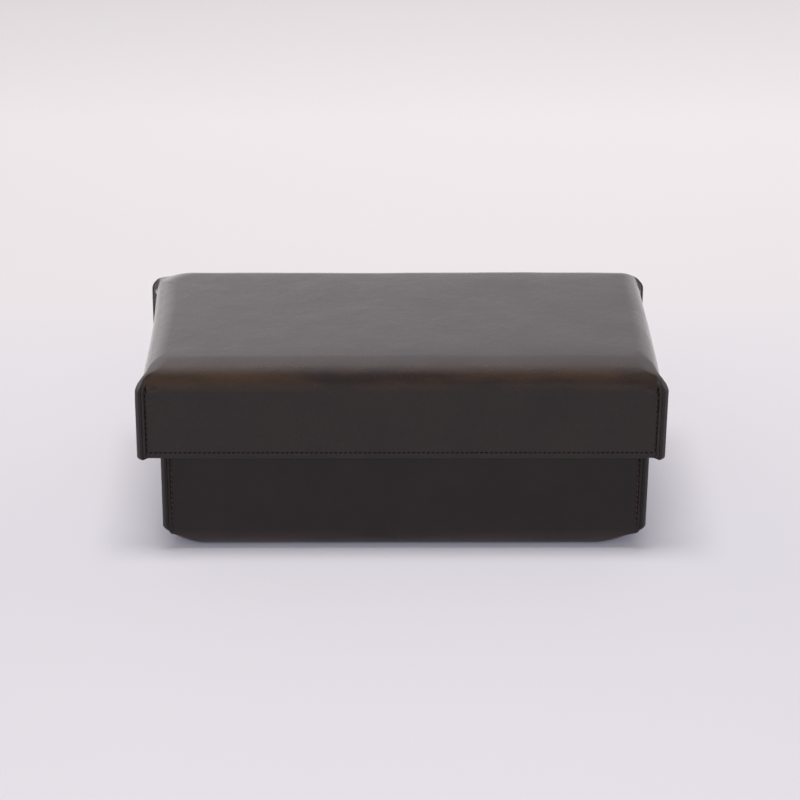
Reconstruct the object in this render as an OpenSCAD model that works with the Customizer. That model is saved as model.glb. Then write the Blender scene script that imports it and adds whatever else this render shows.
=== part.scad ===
// Stationery box: a moulded leather base with a lift-off lid. Each half is one sheet bent
// softly round a flat face into four walls, and pinched at its corners into diagonal fins.

/* [Overall size] */
// Length of the base over its wall faces, in mm
base_length = 276.4; // [200:0.2:400]
// Depth of the base over its wall faces
base_depth = 124.6; // [90:0.2:280]
// Height of the base that shows under the closed lid
base_showing = 65.8; // [35:0.2:120]
// Height of the lid
lid_height = 58.7; // [35:0.2:100]

/* [Layers] */
// Thickness of the leather
leather = 2; // [1.4:0.1:2.6]
// Thickness of the stiffening boards
board = 1; // [0.6:0.1:1.6]
// Thickness of the lining
lining = 0.6; // [0.4:0.1:1]
// How far the boards and the lining stop short of the leather's rim
rim_step = 0.6; // [0.2:0.1:2]
// Space between a wall board's end and the corner fold
board_gap = 3; // [1:0.5:8]

/* [Bends and edges] */
// Outer radius of the bend between a flat face and its walls
bend_radius = 14; // [10:0.5:18]
// Rounding of the rim's burnished outer edge
rim_round = 1; // [0.4:0.1:1.2]

/* [Pinched corners] */
// How far a fin's edge stands out past the corner, along the diagonal
fin_stand = 3.6; // [2:0.1:6]
// Rounding of the fin's burnished edge, seen from above
fin_edge_round = 0.8; // [0.3:0.1:1.2]
// Radius in the fold where a wall turns out into its fin
fold_radius = 3; // [1:0.5:5]
// Depth below the lid's top at which its fins reach their full width
lid_fin_corner = 14.1; // [11:0.1:24]
// Height above the floor at which the base's fins reach their full width
base_fin_corner = 17.3; // [11:0.1:24]
// Distance inside the corner at which a lid fin narrows out into the bend
lid_fin_taper = 4.2; // [3:0.1:5]
// Depth inside the bend at which the lid fins' sloping ends narrow out
lid_fin_sink = 0.2; // [0.1:0.1:1]
// Distance inside the corner at which a base fin narrows out into the bend
base_fin_taper = 3; // [2.8:0.1:4]
// Depth inside the bend at which the base fins' sloping ends narrow out
base_fin_sink = 5; // [2:0.1:5.4]
// Height over which the base's fins slope back to the rim, to pass the lid's bend
fin_rim_slope = 8; // [6:0.5:14]
// Rounding of a fin's sloping end
fin_end_round = 3; // [1:0.5:4]
// Rounding of a fin's foot at the lid's rim
fin_foot_round = 2.4; // [0.8:0.2:3]

/* [Fit of the lid] */
// Clearance between the base's fins and the lid's lining
lid_clearance = 3; // [1:0.1:4]
// How far the closed lid sits to the left of the middle
lid_shift = 2.4; // [0:0.1:2.6]
// Least gap between the base's rim and the bend inside the lid
bend_clearance = 0.4; // [0.3:0.1:1]

/* [Hidden] */
$fn = 96;

// Layers of one wall, and the bend of the lining's inner face
wall_stack = leather + board + lining;
inner_bend = bend_radius - wall_stack;

// How far a fin reaches out past the wall faces, and the space from base wall to lid lining, to
// the nearest hundredth
fin_reach = (fin_stand + leather) / sqrt(2) - fin_edge_round * (sqrt(2) - 1);
wall_space = round(100 * (fin_reach + lid_clearance)) / 100;
lid_length = base_length + 2 * (wall_space + wall_stack);
lid_depth = base_depth + 2 * (wall_space + wall_stack);

// The rim's rounding lies past the start of the lid's inner bend by rim_past_bend, so the rim
// stops below the lid's ceiling by rim_drop to keep its clearance
rim_swing = inner_bend - rim_round;
rim_past_bend = max(0, rim_swing - wall_space + lid_shift);
rim_drop = rim_swing - sqrt(pow(rim_swing - bend_clearance, 2) - pow(rim_past_bend, 2));
closed_height = base_showing + lid_height;
base_height = closed_height - wall_stack - rim_drop;

// Half the angle between a fin and its wall
fold_angle = 67.5;
fold_trim = fold_radius / tan(fold_angle);
fold_centre = [fold_trim - leather, leather + fold_radius];
fold_start = -leather - fold_trim / sqrt(2);
fold_side = -fold_start;

// Width of a fin where it narrows out, and how far inside the corner its plies end in a wall
fin_ridge = 0.6;
fin_root = 1.3 * leather;

leather_colour = [0.2, 0.15, 0.14];
board_colour = [0.62, 0.52, 0.4];
lining_colour = [0.36, 0.25, 0.19];

function unit(v) = v / norm(v);
function half_angle(a, p, b) = acos(unit(a - p) * unit(b - p)) / 2;

// Height at which the bend's mitre runs this far inside the corner of the wall faces
function mitre_height(inside) =
    bend_radius - sqrt(pow(bend_radius, 2) - pow(bend_radius - inside / sqrt(2), 2));

// A convex outline with its own radius on each corner
module rounded_outline(points, radii) {
    last = len(points) - 1;
    trimmed = [
        for (i = [0 : last])
            let (p = points[i], a = points[i > 0 ? i - 1 : last], b = points[i < last ? i + 1 : 0])
            let (trim = radii[i] / tan(half_angle(a, p, b)))
            each [p + trim * unit(a - p), p + trim * unit(b - p)]
    ];
    polygon(trimmed);
    for (i = [0 : last]) {
        p = points[i];
        to_a = unit(points[i > 0 ? i - 1 : last] - p);
        to_b = unit(points[i < last ? i + 1 : 0] - p);
        if (radii[i] > 0)
            translate(p + unit(to_a + to_b) * radii[i] / sin(half_angle(p + to_a, p, p + to_b)))
                circle(radii[i]);
    }
}

// End view of a tray that stands on its flat face, with bends below and its rim on top
module bent_outline(width, height, bend, edge) {
    translate([bend - width / 2, 0])
        square([width - 2 * bend, bend]);
    translate([-width / 2, bend])
        square([width, height - bend - edge]);
    for (side = [-1, 1])
        translate([side * (width / 2 - bend), bend])
            circle(bend);
    if (edge > 0) {
        translate([edge - width / 2, height - edge])
            square([width - 2 * edge, edge]);
        for (side = [-1, 1])
            translate([side * (width / 2 - edge), height - edge])
                circle(edge);
    }
}

// Solid block whose flat face bends into four walls, mitred on the diagonals
module bent_block(length, depth, height, bend, edge = 0) {
    intersection() {
        rotate([90, 0, 0])
            linear_extrude(depth, center = true)
                bent_outline(length, height, bend, edge);
        rotate([90, 0, 90])
            linear_extrude(length, center = true)
                bent_outline(depth, height, bend, edge);
    }
}

// A fin seen from above: two thicknesses of leather, narrowing out inside the corner
module fin_section(taper) {
    rounded_outline(
        [
            [-taper, -fin_ridge / 2],
            [-leather, -leather],
            [fin_stand, -leather],
            [fin_stand, leather],
            [-leather, leather],
            [-taper, fin_ridge / 2]
        ],
        [0, 0, fin_edge_round, fin_edge_round, 0, 0]
    );
}

// The folds seen from above, where both walls turn out into the fin
module fold_section() {
    difference() {
        polygon([
            [fold_start, -fold_side],
            [fold_centre.x, -fold_centre.y],
            fold_centre,
            [fold_start, fold_side],
            [-leather / sqrt(2), 0]
        ]);
        for (side = [-1, 1])
            translate([fold_centre.x, side * fold_centre.y])
                circle(fold_radius);
    }
}

// A fin seen from its side: it leaves the bend, reaches full width and runs on to the rim
module fin_profile(height, full_at, taper, sink, rim_slope) {
    rounded_outline(
        [
            [-taper, mitre_height(taper) + sink],
            [fin_stand, full_at],
            [fin_stand, height - rim_slope],
            [-(leather + fin_root) / 2, height],
            [-fin_root, height],
            [-fin_root, bend_radius]
        ],
        [0, fin_end_round, rim_slope > 0 ? fin_end_round : fin_foot_round, 0, 0, 0]
    );
}

// The folds seen from the side: they start where the bend has become a wall, and run out
// before a rim that the fins slope back to
module fold_profile(height, rim_slope) {
    polygon([
        [fold_start, bend_radius + fold_start],
        [fold_centre.x, bend_radius + fold_centre.x],
        [fold_centre.x, height - rim_slope / 2],
        [fold_start, height - rim_slope / 4]
    ]);
}

// Where a section seen from above and a profile seen from the side agree
module cut_both_ways(height, width) {
    intersection() {
        linear_extrude(height)
            children(0);
        rotate([90, 0, 0])
            linear_extrude(width, center = true)
                children(1);
    }
}

// One pinched corner, with its diagonal along X
module pinched_fin(height, full_at, taper, sink, rim_slope) {
    cut_both_ways(height, 4 * leather) {
        fin_section(taper);
        fin_profile(height, full_at, taper, sink, rim_slope);
    }
    cut_both_ways(height, 4 * fold_side) {
        fold_section();
        fold_profile(height, rim_slope);
    }
}

// Leather of one half, standing on its flat face
module leather_tray(length, depth, height, full_at, taper, sink, rim_slope) {
    difference() {
        union() {
            bent_block(length, depth, height, bend_radius, rim_round);
            for (x = [-1, 1], y = [-1, 1])
                translate([x * length / 2, y * depth / 2, 0])
                    rotate([0, 0, atan2(y, x)])
                        pinched_fin(height, full_at, taper, sink, rim_slope);
        }
        translate([0, 0, leather])
            bent_block(length - 2 * leather, depth - 2 * leather, height, bend_radius - leather);
    }
}

// Lining of one half, over the boards and round the bends
module tray_lining(length, depth, height) {
    under = leather + board;
    difference() {
        translate([0, 0, under])
            bent_block(
                length - 2 * under,
                depth - 2 * under,
                height - under - rim_step,
                bend_radius - under
            );
        translate([0, 0, wall_stack])
            bent_block(length - 2 * wall_stack, depth - 2 * wall_stack, height, inner_bend);
    }
}

// Board against the flat face, up to the start of the bends
module face_board(length, depth) {
    translate([bend_radius - length / 2, bend_radius - depth / 2, leather])
        cube([length - 2 * bend_radius, depth - 2 * bend_radius, board]);
}

// Board against a wall, whose leather faces the +Y side at half of across
module wall_board(along, across, height) {
    width = along - 2 * (leather + board_gap);
    translate([-width / 2, across / 2 - leather - board, bend_radius])
        cube([width, board, height - bend_radius - rim_step]);
}

// The lid's pieces are made flat face down, then turned over and set on the base
module lid_place() {
    translate([-lid_shift, 0, closed_height])
        rotate([180, 0, 0])
            children();
}

module lid_shell() {
    color(leather_colour)
        lid_place()
            leather_tray(
                lid_length,
                lid_depth,
                lid_height,
                lid_fin_corner,
                lid_fin_taper,
                lid_fin_sink,
                0
            );
}

module lid_top_board() {
    color(board_colour)
        lid_place()
            face_board(lid_length, lid_depth);
}

module lid_front_board() {
    color(board_colour)
        lid_place()
            wall_board(lid_length, lid_depth, lid_height);
}

module lid_back_board() {
    color(board_colour)
        lid_place()
            rotate([0, 0, 180])
                wall_board(lid_length, lid_depth, lid_height);
}

module lid_left_board() {
    color(board_colour)
        lid_place()
            rotate([0, 0, 90])
                wall_board(lid_depth, lid_length, lid_height);
}

module lid_right_board() {
    color(board_colour)
        lid_place()
            rotate([0, 0, -90])
                wall_board(lid_depth, lid_length, lid_height);
}

module lid_lining() {
    color(lining_colour)
        lid_place()
            tray_lining(lid_length, lid_depth, lid_height);
}

module base_shell() {
    color(leather_colour)
        leather_tray(
            base_length,
            base_depth,
            base_height,
            base_fin_corner,
            base_fin_taper,
            base_fin_sink,
            fin_rim_slope
        );
}

module base_floor_board() {
    color(board_colour)
        face_board(base_length, base_depth);
}

module base_front_board() {
    color(board_colour)
        rotate([0, 0, 180])
            wall_board(base_length, base_depth, base_height);
}

module base_back_board() {
    color(board_colour)
        wall_board(base_length, base_depth, base_height);
}

module base_left_board() {
    color(board_colour)
        rotate([0, 0, 90])
            wall_board(base_depth, base_length, base_height);
}

module base_right_board() {
    color(board_colour)
        rotate([0, 0, -90])
            wall_board(base_depth, base_length, base_height);
}

module base_lining() {
    color(lining_colour)
        tray_lining(base_length, base_depth, base_height);
}

lid_shell();
lid_top_board();
lid_front_board();
lid_back_board();
lid_left_board();
lid_right_board();
lid_lining();
base_shell();
base_floor_board();
base_front_board();
base_back_board();
base_left_board();
base_right_board();
base_lining();
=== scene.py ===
# %% [markdown]
# # A pinched-corner leather box
#
# The box is two trays of dark waxed leather. Each tray is one sheet, bent softly round a flat
# face and pinched at its corners into fins that are sewn close to their root. The CAD model
# gives every overall size, and this script starts from it, so that each soft piece lies just
# where the model has its simpler solid.

# %% Load the frame
import math

import bmesh
import bpy
import numpy as np
from mathutils import Matrix, Vector


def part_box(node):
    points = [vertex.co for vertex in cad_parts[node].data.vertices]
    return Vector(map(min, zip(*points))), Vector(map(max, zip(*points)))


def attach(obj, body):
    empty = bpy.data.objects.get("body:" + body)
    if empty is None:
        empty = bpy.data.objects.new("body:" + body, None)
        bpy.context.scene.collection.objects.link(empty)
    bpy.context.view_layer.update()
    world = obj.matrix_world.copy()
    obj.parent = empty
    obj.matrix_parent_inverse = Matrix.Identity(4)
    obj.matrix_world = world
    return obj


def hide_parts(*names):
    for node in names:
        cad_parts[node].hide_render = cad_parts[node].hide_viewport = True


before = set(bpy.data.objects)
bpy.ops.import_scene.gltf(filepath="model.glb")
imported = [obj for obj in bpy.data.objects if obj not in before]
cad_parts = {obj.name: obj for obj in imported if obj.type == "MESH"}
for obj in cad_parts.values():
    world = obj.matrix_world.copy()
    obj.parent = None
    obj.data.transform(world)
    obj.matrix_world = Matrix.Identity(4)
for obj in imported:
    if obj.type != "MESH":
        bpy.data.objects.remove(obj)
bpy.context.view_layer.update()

# %% [markdown]
# ## Walls of the two halves
#
# On the real box the walls stand straight between the fins, with board and lining behind them.
# They could be measured on the outer leather, but its fins stand out past them, so they are
# measured on the lining of the CAD model, which lies one leather and one board inside.

# %% Walls measured on the CAD model
MM = 0.001
LEATHER = 2.0 * MM
BOARD = 1.0 * MM


def measured_half(shell, lining, **work):
    """Sizes of one half, standing on its flat face: the CAD gives its walls and height."""
    low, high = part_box(lining)
    shell_low, shell_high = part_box(shell)
    around = 2 * (LEATHER + BOARD)
    return {
        "length": high.x - low.x + around,
        "depth": high.y - low.y + around,
        "height": shell_high.z - shell_low.z,
        "middle": (low.x + high.x) / 2,
        "low": shell_low.z,
        "high": shell_high.z,
        **work,
    }


print("board and leather round the lining:", round(2 * (LEATHER + BOARD), 4))

# %% [markdown]
# ## How each half is worked
#
# Both halves are made in the same way, with other sizes: the lid's fins run square to its rim,
# and the base's slope away before it. One set of named sizes for each half lets every later step
# be one function. All heights count from the flat face. The four corners are given as a half
# stands on its flat face: back right first, then anticlockwise as seen from above. Each bow is
# how far the middle of a short wall lies inwards, for the right wall and then the left one.

# %% Sizes of the work on each half
lid = measured_half(
    "lid_shell", "lid_lining", body="lid", turned=True, bend=14.0 * MM,
    fin_line=(-3.2 * MM, 5.0 * MM), full_at=13.6 * MM, fin_from=3.0 * MM, fin_to=8.6 * MM,
    rim_slope=0.0, seam_from=16.4 * MM, corners=(8 * MM, 6 * MM, 14 * MM, 3 * MM),
    bows=(-0.5 * MM, 1.5 * MM), settle_middle=0.5, settle_depth=1.0 * MM,
    dome=1.2 * MM, pucker=1.5 * MM,
)
base = measured_half(
    "base_shell", "base_lining", body="base", turned=False, bend=11.5 * MM,
    fin_line=(-3.6 * MM, 8.4 * MM), full_at=16.2 * MM, fin_from=9.0 * MM, fin_to=12.8 * MM,
    rim_slope=8.0 * MM, seam_from=18.0 * MM, corners=(18 * MM, 18 * MM, 17 * MM, 22 * MM),
    bows=(0.3 * MM, 0.3 * MM), settle_middle=1.0, settle_depth=0.25 * MM,
    dome=0.0, pucker=0.0,
)
for half in (lid, base):
    print(half["body"], "walls:", [round(half[way], 4) for way in ("length", "depth", "height")])

# %% [markdown]
# ## The camera
#
# The box is seen from the front and a little above, through a long lens that keeps its edges
# nearly parallel. It stands turned by about one degree. It could be turned in the scene, but the
# model keeps to its axes, so the camera goes round it instead.

# %% Camera
VIEW_ELEVATION = math.radians(26.0)
VIEW_TURN = math.radians(-1.12)
VIEW_ROLL = math.radians(0.486)
VIEW_DISTANCE = 1.588
VIEW_LENS_MM = 118.92
SENSOR_WIDTH_MM = 36.0
AIM_FROM_RIM = Vector((0.0003, 0.0, 0.0023))

turn = Matrix.Rotation(VIEW_TURN, 3, "Z")
forward = turn @ Vector((0, math.cos(VIEW_ELEVATION), -math.sin(VIEW_ELEVATION)))
level = turn @ Vector((1, 0, 0))
right = math.cos(VIEW_ROLL) * level + math.sin(VIEW_ROLL) * level.cross(forward)
upward = right.cross(forward)
aim = Vector((lid["middle"], 0, lid["low"])) + turn @ AIM_FROM_RIM

bpy.ops.object.camera_add()
camera = bpy.context.object
camera.name = "photograph_camera"
camera.data.lens = VIEW_LENS_MM
camera.data.sensor_width = SENSOR_WIDTH_MM
camera_turn = Matrix((right, upward, -forward)).transposed().to_4x4()
camera.matrix_world = Matrix.Translation(aim - VIEW_DISTANCE * forward) @ camera_turn
bpy.context.scene.camera = camera
print("camera at", [round(v, 3) for v in camera.location])

# %% [markdown]
# ## Smooth changes
#
# Leather has no sudden steps: one shape always fades into the next. Two small functions do all
# of the fading here. One eases from 0 to 1 between two heights, and the other is a minimum whose
# kink is rounded off. Curves or shape keys could do it too, but a formula needs no points.

# %% Easing and soft minimum
def smoothstep(low, high, value):
    """Eases from 0 at low to 1 at high; low may also be the larger of the two."""
    share = min(max((value - low) / (high - low), 0.0), 1.0)
    return share * share * (3 - 2 * share)


def soft_min(first, second, width):
    """The smaller of two values, rounded off where they are less than width apart."""
    share = min(max(0.5 + 0.5 * (second - first) / width, 0.0), 1.0)
    return second + (first - second) * share - width * share * (1 - share)


print("a quarter of the way, eased:", round(smoothstep(0.0, 1.0, 0.25), 3))

# %% [markdown]
# ## The edge line of a fin
#
# Seen from its side, a fin grows out of the bend along a sloping line, runs straight along the
# wall, and ends at the rim: with a rounded foot on the lid, and in a slope on the base, so that
# the lid slides over it. The fin could be cut from a flat plate, but as a function of the height
# it can shape the same sheet that makes the walls.

# %% Edge line of a fin
FIN_STAND = 3.6 * MM
FIN_LINE_SOFT = 1.6 * MM
FIN_RUN_OUT = 2.3 * MM
FIN_FOOT = 2.4 * MM


def fin_tip(half, z):
    """How far out on the diagonal the fin's edge stands at height z, from the wall corner."""
    start_out, start_z = half["fin_line"]
    slope = (FIN_STAND - start_out) / (half["full_at"] - start_z)
    tip = soft_min(start_out + (z - start_z) * slope, FIN_STAND, FIN_LINE_SOFT)
    if half["rim_slope"] > 0:
        rise = (half["height"] - z) * (FIN_STAND + FIN_RUN_OUT) / half["rim_slope"]
        return soft_min(tip, rise - FIN_RUN_OUT, FIN_LINE_SOFT)
    over = z - (half["height"] - FIN_FOOT)
    if over > 0:
        tip = min(tip, FIN_STAND - FIN_FOOT + math.sqrt(max(FIN_FOOT**2 - over**2, 0)))
    return tip


for half in (lid, base):
    tips = [round(fin_tip(half, share * half["height"]) / MM, 2) for share in (0.1, 0.5, 0.95)]
    print(half["body"], "fin stands out, in mm, near the bend, half way and near the rim:", tips)

# %% [markdown]
# ## The gathered leather above a seam
#
# The first stitch of a lid seam pulls the leather together, and what has nowhere to go swells
# out just above it. It fades along both walls. It could be sculpted by hand, but a bell curve
# over height and distance swells all four corners alike.

# %% Swelling above the first stitch
PUCKER_OVER_STITCH = 1.8 * MM
PUCKER_HEIGHT = 1.4 * MM
PUCKER_WIDTH = 4.5 * MM


def pucker_at(half, z):
    """How far the gathered leather swells out at height z, right at the fin."""
    over = (z - half["seam_from"] + PUCKER_OVER_STITCH) / PUCKER_HEIGHT
    return half["pucker"] * math.exp(-(over**2))


def pucker_on_wall(half, z, to_corner):
    """The same swelling on the wall, at a distance from the wall's corner."""
    gap = max((to_corner - 2 * LEATHER) / PUCKER_WIDTH, 0.0)
    return pucker_at(half, z) * math.exp(-(gap**2))


most_swollen = pucker_at(lid, lid["seam_from"] - PUCKER_OVER_STITCH)
print("lid swells by, in mm:", round(most_swollen / MM, 2))

# %% [markdown]
# ## A section through a corner
#
# Seen from above, the flat face has plainly rounded corners, and higher up each corner is a fin:
# two thicknesses of leather on the diagonal, with a round fold where each wall turns out into
# it. Close to the fold the stitches pull a groove, and near its edge the two plies show a fine
# crease. Both sections have the same count of points, so that one can fade into the other.

# %% Rounded corner
ROOT_TWO = math.sqrt(2)
CORNER_STEPS = 16
CORNER_SWEEP = 43
TIGHT_CORNER = 2.4 * MM


def corner_left(widest, rise):
    """Plan radius of a corner at a share of the bend's height: wide below, tight at the wall."""
    return max(TIGHT_CORNER, widest * max(1 - rise**2, 0.0) ** 0.75)


def round_corner(radius):
    """Half of a plainly rounded corner, from its wall to just short of its middle."""
    degrees = [45 - CORNER_SWEEP * k / CORNER_STEPS for k in range(CORNER_STEPS + 1)]
    angles = [math.radians(angle) for angle in degrees]
    return [(radius * (math.cos(a) - ROOT_TWO), radius * math.sin(a)) for a in angles]


print("points in half a corner:", len(round_corner(TIGHT_CORNER)))

# %% Folds, stitched side and edge of a fin
FOLD = 0.8 * MM
FOLD_ANGLE = math.radians(67.5)
FOLD_PULL = (0.0, 0.0, 0.2, 0.5, 0.85)
FOLD_SWELL = (1.0, 0.9, 0.7, 0.4, 0.1)
SIDE_SHARES = (0.07, 0.14, 0.22, 0.32, 0.45, 0.6, 0.72, 0.84)
SIDE_PULL = (1.0, 1.0, 0.6, 0.15, 0.0, 0.0, 0.0, 0.0)
SIDE_CREASE = (0.0, 0.0, 0.0, 0.0, 0.0, 0.1, 1.0, 0.1)
EDGE_CREASE = 0.3 * MM
FIN_EDGE = 0.8 * MM
FIN_EDGE_TURNS = (90, 60, 30, 0)
THINNEST = 0.3 * MM
THICK_TO_STAND = 0.9
FOLD_LIMIT = 2.0
EDGE_LIMITS = 0.9, 0.5


def fin_measures(half, z, inset, rounding):
    """Half the fin's thickness, how far it stands out, its fold radius and its edge radius."""
    thick = LEATHER - rounding
    stand = fin_tip(half, z) - rounding + ROOT_TWO * (inset + rounding)
    if z < half["full_at"]:
        thick = min(thick, THINNEST + THICK_TO_STAND * max(stand, 0.0))
    stand = max(stand, THINNEST - thick)
    fold = min(FOLD + rounding, FOLD_LIMIT * (stand + thick))
    edge = min(FIN_EDGE, EDGE_LIMITS[0] * thick, EDGE_LIMITS[1] * (stand + thick))
    return thick, stand, fold, edge


def pinched_corner(half, z, inset, rounding, groove):
    """Points of half a fin, from its wall to its middle: fold, stitched side, burnished edge."""
    thick, stand, fold, edge = fin_measures(half, z, inset, rounding)
    centre = (fold / math.tan(FOLD_ANGLE) - thick, thick + fold)
    pucker = pucker_at(half, z) / ROOT_TWO
    points = []
    for k, (pull, swell) in enumerate(zip(FOLD_PULL, FOLD_SWELL)):
        angle = math.radians(225 + 45 * k / (len(FOLD_PULL) - 1))
        reach = fold + pull * groove
        out = swell * pucker
        points.append((
            centre[0] + reach * math.cos(angle) + out, centre[1] + reach * math.sin(angle) + out
        ))
    for share, pull, crease in zip(SIDE_SHARES, SIDE_PULL, SIDE_CREASE):
        along = centre[0] + share * (stand - edge - centre[0])
        dent = pull * groove + crease * EDGE_CREASE * max(thick, 0.0) / LEATHER
        points.append((along, thick - dent))
    for degrees in FIN_EDGE_TURNS:
        angle = math.radians(degrees)
        points.append((
            stand - edge + edge * math.cos(angle), thick - edge + edge * math.sin(angle)
        ))
    return points


print("points in half a fin:", len(pinched_corner(lid, lid["height"] / 2, 0.0, 0.0, 0.0)))

# %% [markdown]
# ## The outline of a half at any height
#
# Four corners and four walls make one closed outline. The points of a wall crowd towards its
# corners, where the leather bends. Each point also keeps how far the finish darkens it, as wear on
# the burnished edges and as painted shade in the stitch grooves, and how loosely the leather lies
# there. A bevelled box could give the walls, but not the sheet that runs on through its fins
# without a joint.

# %% Points along the walls
LONG_CELLS, SHORT_CELLS = 50, 24
CROWDING = 0.8
QUARTERS = ((1, 1), (-1, 1), (-1, -1), (1, -1))


def eased(share):
    """Shifts an even share so that the cells of a wall come closer together at its corners."""
    return share - CROWDING * math.sin(2 * math.pi * share) / (2 * math.pi)


def long_wall(half, z, quarter, sizes, ends, line, plain):
    """Points of the back or front wall, between its two corners."""
    side_x, side_y = QUARTERS[quarter]
    points = []
    for k in range(1, LONG_CELLS):
        share = eased(k / LONG_CELLS)
        x = side_x * ((sizes[0] - ends[0]) * (1 - share) - (sizes[0] - ends[1]) * share)
        swell = 0.0 if plain else pucker_on_wall(half, z, sizes[0] - abs(x))
        points.append((x, side_y * (sizes[1] - line + swell)))
    return points


def short_wall(half, z, quarter, sizes, ends, line, plain):
    """Points of the left or right wall, which may bow."""
    side_x, side_y = QUARTERS[quarter]
    bow = 0.0 if plain else half["bows"][0 if side_x > 0 else 1]
    points = []
    for k in range(1, SHORT_CELLS):
        share = eased(k / SHORT_CELLS)
        y = side_y * ((sizes[1] - ends[0]) * (1 - share) - (sizes[1] - ends[1]) * share)
        swell = 0.0 if plain else pucker_on_wall(half, z, sizes[1] - abs(y))
        inward = line + bow * (1 - (y / sizes[1]) ** 2) ** 2 - swell
        points.append((side_x * (sizes[0] - inward), y))
    return points


print("a tenth of the way along a wall, crowded:", round(eased(0.1), 4))

# %% Closed outline
# The fold and the first points of the fin's side lie in the stitch groove, and their share darkens
# the finish there as painted shade. The crease near the edge and the edge itself are worn darker.
FOLD_GROOVE_SHADE = (0.0, 0.0, 0.1, 0.5, 1.0)
SIDE_GROOVE_SHADE_AND_CREASE_WEAR = (1.0, 1.0, 0.4, 0.0, 0.0, 0.2, 0.9, 0.3)
EDGE_WEAR = (0.8, 1.0, 1.0, 1.0)
LOOSE_UP_TO = 1.6


def corner_points(half, z, inset, rounding, groove, soft, presence):
    """Half of each of the four corners: a rounding that fades into a fin."""
    pinched = pinched_corner(half, z, inset, rounding, groove) if presence > 0 else None
    corners = []
    for widest in half["corners"]:
        radius = corner_left(widest, z / half["bend"]) if soft is None else soft
        points = round_corner(radius)
        if pinched:
            points = [
                (a + (c - a) * presence, b + (d - b) * presence)
                for (a, b), (c, d) in zip(points, pinched)
            ]
        corners.append(points)
    return corners


def outline(half, z, inset=0.0, rounding=0.0, groove=0.0, line=0.0, soft=None, plain=False):
    """Closed outline at height z, anticlockwise from above: rows of x, y, wear with painted groove
    shade, and looseness.
    """
    sizes = [half[way] / 2 - inset - rounding for way in ("length", "depth")]
    presence = 0.0 if plain else smoothstep(half["fin_from"], half["fin_to"], z)
    corners = corner_points(half, z, inset, rounding, groove, soft, presence)
    darkened_share = [presence * share for share in FOLD_GROOVE_SHADE + SIDE_GROOVE_SHADE_AND_CREASE_WEAR + EDGE_WEAR]
    loose = smoothstep(LOOSE_UP_TO * half["bend"], half["bend"], z)

    rows = []
    for quarter, (side_x, side_y) in enumerate(QUARTERS):
        points = corners[quarter]
        turned = [(out, -aside, wear_and_groove_shade) for (out, aside), wear_and_groove_shade in zip(points, darkened_share)]
        turned += [(out, -aside, wear_and_groove_shade) for out, aside, wear_and_groove_shade in reversed(turned)]
        angle = math.radians(45 + 90 * quarter)
        for out, aside, wear_and_groove_shade in turned:
            x = side_x * sizes[0] + out * math.cos(angle) - aside * math.sin(angle)
            y = side_y * sizes[1] + out * math.sin(angle) + aside * math.cos(angle)
            rows.append((x, y, wear_and_groove_shade, loose))
        ends = [ROOT_TWO * corner[0][1] for corner in (points, corners[(quarter + 1) % 4])]
        wall = long_wall if quarter % 2 == 0 else short_wall
        rows += [(x, y, 0.0, loose) for x, y in wall(half, z, quarter, sizes, ends, line, plain)]
    return rows


print("points in one outline:", len(outline(lid, lid["height"] / 2)))

# %% [markdown]
# ## Where the outlines lie
#
# The heights follow the work: outlines lie close together round the bend, four to every stitch
# of the corner seams, so that each stitch can pull its own dent, and close together again at the
# rim, whose outer edge is rubbed round. Inside, the sheet runs back down to its inner flat face.
# An even spacing would be simpler, but it would waste points on the plain wall.

# %% Outlines round the bend
def bend_rows(half, depth, steps, plain):
    """Outlines round the bend, from the flat face to the wall, at a depth under the surface."""
    rows = []
    radius = half["bend"] - depth
    for k in range(steps):
        angle = math.radians(90 * k / steps)
        rise = 1 - math.cos(angle)
        z = depth + radius * rise
        inset = depth + radius * (1 - math.sin(angle))
        soft = corner_left(max(half["corners"]) + 2 * MM, rise) if plain else None
        rows.append((z, 0.0, outline(half, z, inset=inset, soft=soft, plain=plain)))
    return rows


half_way_round = bend_rows(lid, 0.0, 2, plain=False)[1]
print("half way round the bend the lid is as high as, in mm:", round(half_way_round[0] / MM, 2))

# %% Outlines up the stitched wall
SEAM_PITCH = 3.5 * MM
RIM_STITCH = 3.8 * MM
RIM_LINE_ROWS = [k * 0.45 * MM for k in range(-2, 3)]
RIM_LINE_DEPTH = 0.18 * MM
RIM_LINE_REACH = 0.9 * MM
RIM_LINE_CLEAR = 1.2 * MM
RIM_ROUND = 1.0 * MM
GROOVE_DEPTH = 0.65 * MM
STITCH_PULL = 0.4


def wall_rows(half):
    """Outlines from the bend to the rim, dented by the corner seams and by the rim's stitches."""
    stitch_line = half["height"] - RIM_STITCH
    step = SEAM_PITCH / 4
    count = int((half["height"] - RIM_ROUND - half["bend"]) / step) + 1
    heights = [half["bend"] + k * step for k in range(count)]
    heights = [z for z in heights if abs(z - stitch_line) > RIM_LINE_CLEAR]
    heights += [stitch_line + offset for offset in RIM_LINE_ROWS]
    first = half["seam_from"]
    rows = []
    for z in sorted(heights):
        pull = 1 - STITCH_PULL + STITCH_PULL * math.cos(2 * math.pi * (z - first) / SEAM_PITCH)
        in_seam = smoothstep(first - SEAM_PITCH, first + SEAM_PITCH / 4, z)
        near = max(0.0, 1 - abs(z - stitch_line) / RIM_LINE_REACH)
        ring = outline(half, z, groove=GROOVE_DEPTH * pull * in_seam, line=RIM_LINE_DEPTH * near)
        rows.append((z, 0.0, ring))
    return rows


print("outlines up the lid's wall and the base's:", len(wall_rows(lid)), len(wall_rows(base)))

# %% Outlines of the whole sheet
BEND_STEPS, INNER_BEND_STEPS, RIM_STEPS = 20, 8, 4
RIM_WEAR = 0.4
FLAT_STEP = 9.0 * MM
INNER_FACE = LEATHER - 0.05 * MM
INNER_LIP = 0.3 * MM


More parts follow.
